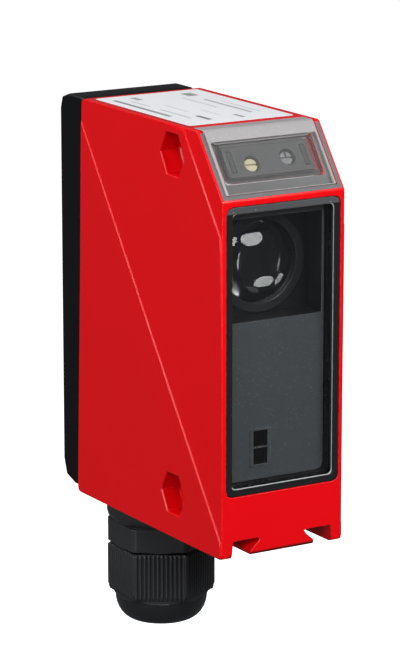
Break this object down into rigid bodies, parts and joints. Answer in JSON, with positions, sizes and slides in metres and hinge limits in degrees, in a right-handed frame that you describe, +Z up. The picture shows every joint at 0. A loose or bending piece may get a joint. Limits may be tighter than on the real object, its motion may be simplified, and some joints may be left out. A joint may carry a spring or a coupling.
{
  "type": "photoelectric sensor",
  "caption": "Block-shaped photoelectric sensor with a red metal housing, a tall front window, a clear-covered control panel, a rear terminal cap and a cable gland below.",
  "frame": {"origin": "Middle of the dovetail rail's underside, straight below the two fixing holes.", "axes": "+Z up, +Y from the window to the rear cap, +X to the right of someone facing the window."},
  "size_m": [0.0306, 0.07, 0.1185],
  "materials": {
    "painted_red": "gloss powder coat on die-cast zinc",
    "black_gloss": "glossy moulded frame",
    "window_glass": "polished flat glass",
    "lens_glass": "polished optical glass",
    "mask_plastic": "spark-eroded grain",
    "black_plastic": "fine moulded grain",
    "diode_epoxy": "tinted clear epoxy",
    "board_lacquer": "solder mask",
    "screw_steel": "zinc plated",
    "terminal_brass": "nickel free brass",
    "flex_film": "amber polyimide film",
    "grey_plastic": "fine matt",
    "cream_plastic": "satin",
    "light_guide": "smoked clear",
    "clear_plastic": "clear polycarbonate",
    "label_film": "satin film",
    "seal_rubber": "matt",
    "terminal_plastic": "glass-filled"
  },
  "bodies": {
    "housing": {"housing": "painted_red", "window_frame": "black_gloss", "front_window": "window_glass", "aperture_mask": "mask_plastic", "optics_carrier": "black_plastic", "main_lens": "lens_glass", "lens_retainer": "black_gloss", "beam_splitter": "lens_glass", "emitter_diode": "diode_epoxy", "receiver_diode": "diode_epoxy", "emitter_board": "board_lacquer", "receiver_board": "board_lacquer", "main_board": "board_lacquer", "processor_chip": "black_plastic", "storage_capacitor": "screw_steel", "board_link": "black_plastic", "terminal_link": "black_plastic", "control_flex": "flex_film", "carrier_screw_left": "screw_steel", "carrier_screw_right": "screw_steel", "board_screw_upper": "screw_steel", "board_screw_lower": "screw_steel", "control_panel": "grey_plastic", "control_seal": "seal_rubber", "control_board": "board_lacquer", "sensitivity_trimmer": "cream_plastic", "mode_switch": "grey_plastic", "status_light_left": "light_guide", "status_light_right": "light_guide", "rating_label": "label_film", "rear_gasket": "seal_rubber", "terminal_block": "terminal_plastic", "gland_body": "black_plastic", "gland_flange_seal": "seal_rubber", "gland_cable_seal": "seal_rubber"},
    "clear_cover": {"clear_cover": "clear_plastic"},
    "sensitivity_rotor": {"sensitivity_rotor": "cream_plastic"},
    "mode_rotor": {"mode_rotor": "grey_plastic"},
    "rear_cap": {"rear_cap": "black_plastic"},
    "cap_screw_upper": {"cap_screw_upper": "screw_steel"},
    "cap_screw_lower": {"cap_screw_lower": "screw_steel"},
    "gland_clamp": {"gland_clamp_ring": "black_plastic"},
    "gland_nut": {"gland_nut": "black_plastic"},
    "terminal_screw_1": {"terminal_screw_1": "terminal_brass"},
    "terminal_screw_2": {"terminal_screw_2": "terminal_brass"},
    "terminal_screw_3": {"terminal_screw_3": "terminal_brass"},
    "terminal_screw_4": {"terminal_screw_4": "terminal_brass"},
    "terminal_screw_5": {"terminal_screw_5": "terminal_brass"}
  },
  "joints": [
    {"name": "clear_cover_lift", "type": "slide", "parent": "housing", "child": "clear_cover", "axis": [0, -0.7997, 0.6004], "range_m": [0, 0.015]},
    {"name": "sensitivity_turn", "type": "hinge", "parent": "housing", "child": "sensitivity_rotor", "pos_m": [-0.0043, -0.01333, 0.08176], "axis": [0, -0.7997, 0.6004], "range_deg": [-135, 135]},
    {"name": "mode_turn", "type": "hinge", "parent": "housing", "child": "mode_rotor", "pos_m": [0.00465, -0.01288, 0.08236], "axis": [0, -0.7997, 0.6004], "range_deg": [0, 90]},
    {"name": "rear_cap_slide", "type": "slide", "parent": "housing", "child": "rear_cap", "axis": [0, 1, 0], "range_m": [0, 0.028]},
    {"name": "cap_screw_upper_turn", "type": "hinge", "parent": "rear_cap", "child": "cap_screw_upper", "pos_m": [-0.0083, 0.05, 0.0821], "axis": [0, 1, 0], "continuous": true},
    {"name": "cap_screw_lower_turn", "type": "hinge", "parent": "rear_cap", "child": "cap_screw_lower", "pos_m": [0.0083, 0.05, 0.0089], "axis": [0, 1, 0], "continuous": true},
    {"name": "gland_nut_travel", "type": "slide", "parent": "housing", "child": "gland_clamp", "axis": [0, 0, -1], "range_m": [0, 0.0045]},
    {"name": "gland_nut_turn", "type": "hinge", "parent": "gland_clamp", "child": "gland_nut", "pos_m": [0, 0.0306, -0.02], "axis": [0, 0, -1], "range_deg": [0, 1082]},
    {"name": "terminal_screw_1_turn", "type": "hinge", "parent": "housing", "child": "terminal_screw_1", "pos_m": [-0.0034, 0.0298, 0.0709], "axis": [0, 1, 0], "continuous": true},
    {"name": "terminal_screw_2_turn", "type": "hinge", "parent": "housing", "child": "terminal_screw_2", "pos_m": [-0.0034, 0.0298, 0.0627], "axis": [0, 1, 0], "continuous": true},
    {"name": "terminal_screw_3_turn", "type": "hinge", "parent": "housing", "child": "terminal_screw_3", "pos_m": [-0.0034, 0.0298, 0.0545], "axis": [0, 1, 0], "continuous": true},
    {"name": "terminal_screw_4_turn", "type": "hinge", "parent": "housing", "child": "terminal_screw_4", "pos_m": [-0.0034, 0.0298, 0.0463], "axis": [0, 1, 0], "continuous": true},
    {"name": "terminal_screw_5_turn", "type": "hinge", "parent": "housing", "child": "terminal_screw_5", "pos_m": [-0.0034, 0.0298, 0.0381], "axis": [0, 1, 0], "continuous": true}
  ],
  "couplings": [
    {"joint": "gland_nut_turn", "follows": "gland_nut_travel", "rad_per_m": 4188.8}
  ]
}
